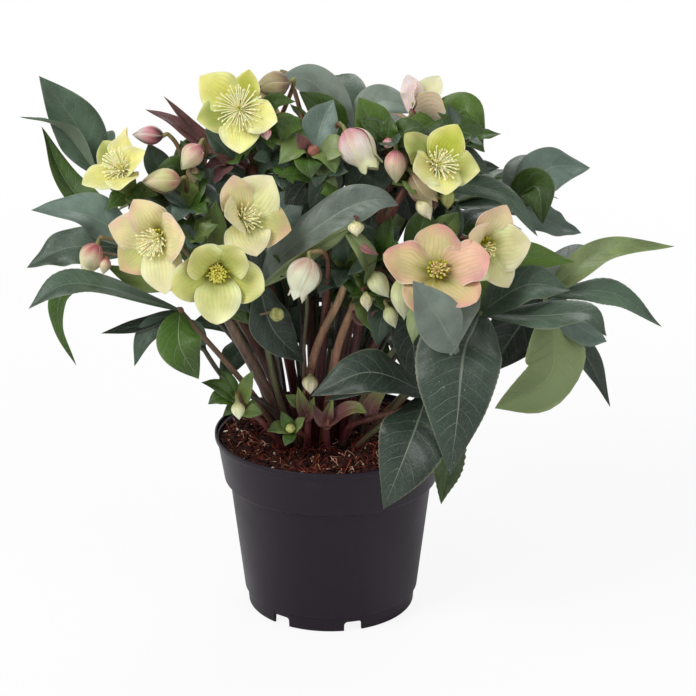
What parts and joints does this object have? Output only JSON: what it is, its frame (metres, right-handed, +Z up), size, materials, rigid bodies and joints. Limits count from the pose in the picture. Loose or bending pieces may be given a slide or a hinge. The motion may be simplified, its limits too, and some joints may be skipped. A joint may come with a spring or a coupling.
{
  "type": "potted hellebore",
  "caption": "Flowering hellebore with cream, pink and lime flowers, dark palmate leaves and reddish stems, in a round black plastic nursery container filled with potting mix",
  "frame": {"origin": "The centre of the flat pad under the pot, which is the centre of the pot's footprint, at the height of the surface it stands on.", "axes": "+Z is up. -Y is the plant's front, where most of its open flowers look. +X is to the right as seen from the front, and the foliage spreads furthest along it."},
  "size_m": [0.51, 0.3622, 0.459],
  "materials": {
    "pot": "satin moulded polypropylene",
    "potting_mix": "matte, moist peat and fine bark",
    "leaf": "leathery, slightly glossy",
    "stem": "smooth, satin",
    "sepal": "soft, faintly translucent",
    "stamen": "soft, matte",
    "bud": "soft, satin"
  },
  "bodies": {
    "root": {"bud_back": "bud", "bud_centre_1": "bud", "bud_centre_2": "bud", "bud_centre_right_1": "bud", "bud_centre_right_2": "bud", "bud_left_low": "bud", "bud_left_top_1": "bud", "bud_left_top_2": "bud", "bud_left_top_3": "bud", "bud_right_1": "bud", "bud_right_2": "bud", "bud_right_3": "bud", "bud_shoot_left": "bud", "bud_top_left": "bud", "flower_back_left": "sepal", "flower_back_right": "sepal", "flower_crest": "sepal", "flower_far_left": "sepal", "flower_front_left": "sepal", "flower_front_right": "sepal", "flower_inner_left": "sepal", "flower_left": "sepal", "flower_right": "sepal", "flower_stem_back": "stem", "flower_stem_centre": "stem", "flower_stem_centre_left": "stem", "flower_stem_centre_right": "stem", "flower_stem_left_low": "stem", "flower_stem_left_top": "stem", "flower_stem_right": "stem", "flower_stem_shoot_front": "stem", "flower_stem_shoot_left": "stem", "flower_top_left": "sepal", "flower_top_right": "sepal", "leaf_back": "leaf", "leaf_back_left": "leaf", "leaf_back_right": "leaf", "leaf_centre": "leaf", "leaf_front_low": "leaf", "leaf_left_low": "leaf", "leaf_left_mid": "leaf", "leaf_left_top": "leaf", "leaf_right_far": "leaf", "leaf_right_front": "leaf", "leaf_right_mid": "leaf", "leaf_right_top": "leaf", "leaf_top": "leaf", "pot": "pot", "potting_mix": "potting_mix", "stamens_back_left": "stamen", "stamens_back_right": "stamen", "stamens_crest": "stamen", "stamens_far_left": "stamen", "stamens_front_left": "stamen", "stamens_front_right": "stamen", "stamens_inner_left": "stamen", "stamens_left": "stamen", "stamens_right": "stamen", "stamens_top_left": "stamen", "stamens_top_right": "stamen"}
  },
  "joints": []
}
